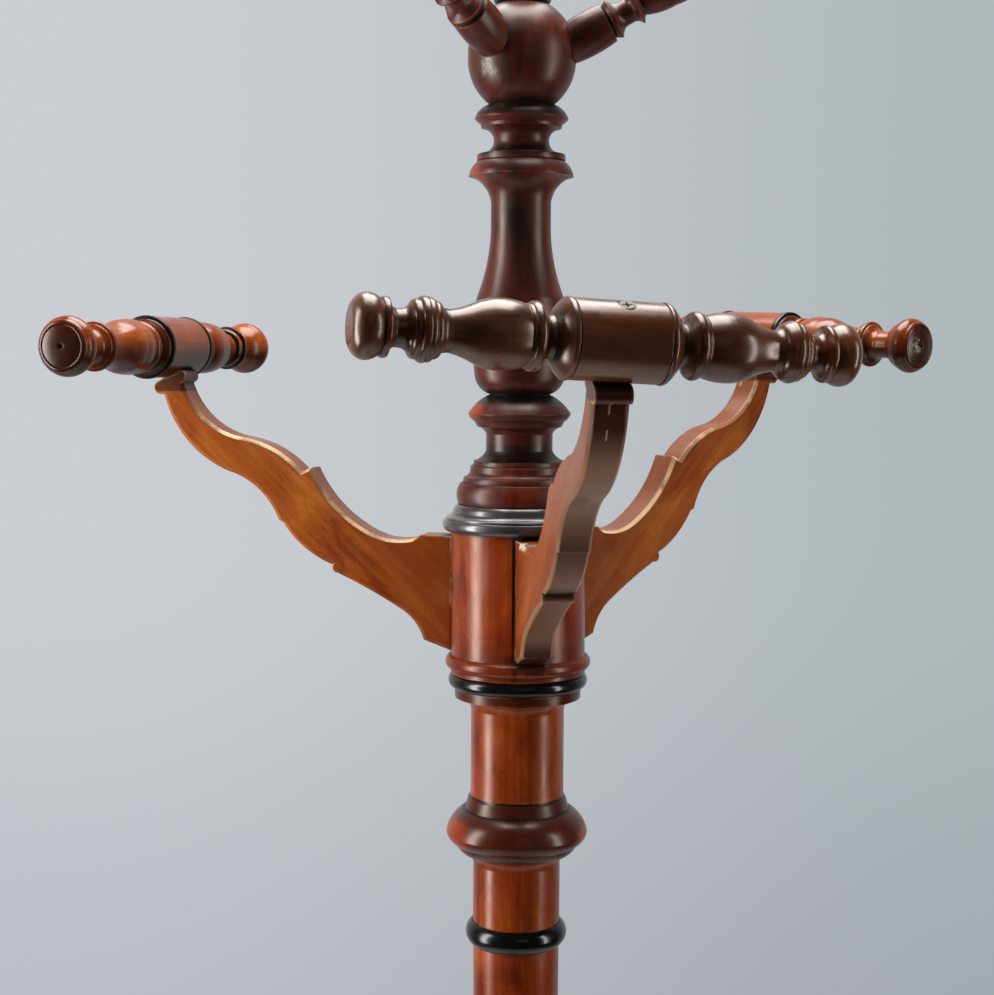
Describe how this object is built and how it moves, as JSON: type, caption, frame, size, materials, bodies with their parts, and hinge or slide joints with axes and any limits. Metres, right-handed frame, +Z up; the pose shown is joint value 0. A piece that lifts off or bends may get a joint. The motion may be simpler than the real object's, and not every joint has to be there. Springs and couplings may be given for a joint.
{
  "type": "coat rack",
  "caption": "Free-standing turned-wood coat stand: scroll legs, a sectioned column with ebonised rings, scroll brackets carrying turned hanger bars, and slanting hat pegs under a finial.",
  "frame": {"origin": "on the column's axis at floor level", "axes": "+Z up along the column, -Y along the front bracket, +X to the right seen from the front"},
  "size_m": [0.6423, 0.61, 1.7649],
  "materials": {
    "satin_wood": "satin shellac, orange-brown",
    "dark_wood": "satin shellac, dark red-brown",
    "red_wood": "satin shellac, red-brown",
    "brown_wood": "gloss varnish, dark brown",
    "ebonised_wood": "gloss, ebonised black",
    "screw_steel": "dull zinc"
  },
  "bodies": {
    "root": {"leg_back": "satin_wood", "leg_right": "satin_wood", "leg_left": "satin_wood", "base_hub": "satin_wood", "base_drop": "dark_wood", "base_ring": "ebonised_wood", "lower_shaft": "satin_wood", "baluster_ring": "ebonised_wood", "baluster": "satin_wood", "lower_ring": "ebonised_wood", "middle_shaft": "satin_wood", "upper_ring": "ebonised_wood", "bracket_drum": "satin_wood", "bracket_front": "satin_wood", "bracket_right": "satin_wood", "bracket_left": "satin_wood", "hanger_bar_front": "brown_wood", "hanger_bar_right": "red_wood", "hanger_bar_left": "red_wood", "bar_screws": "screw_steel", "crown_foot": "ebonised_wood", "crown_column": "dark_wood", "peg_ball": "dark_wood", "hat_peg_right": "dark_wood", "hat_peg_back": "dark_wood", "hat_peg_left": "dark_wood", "finial": "ebonised_wood"}
  },
  "joints": []
}
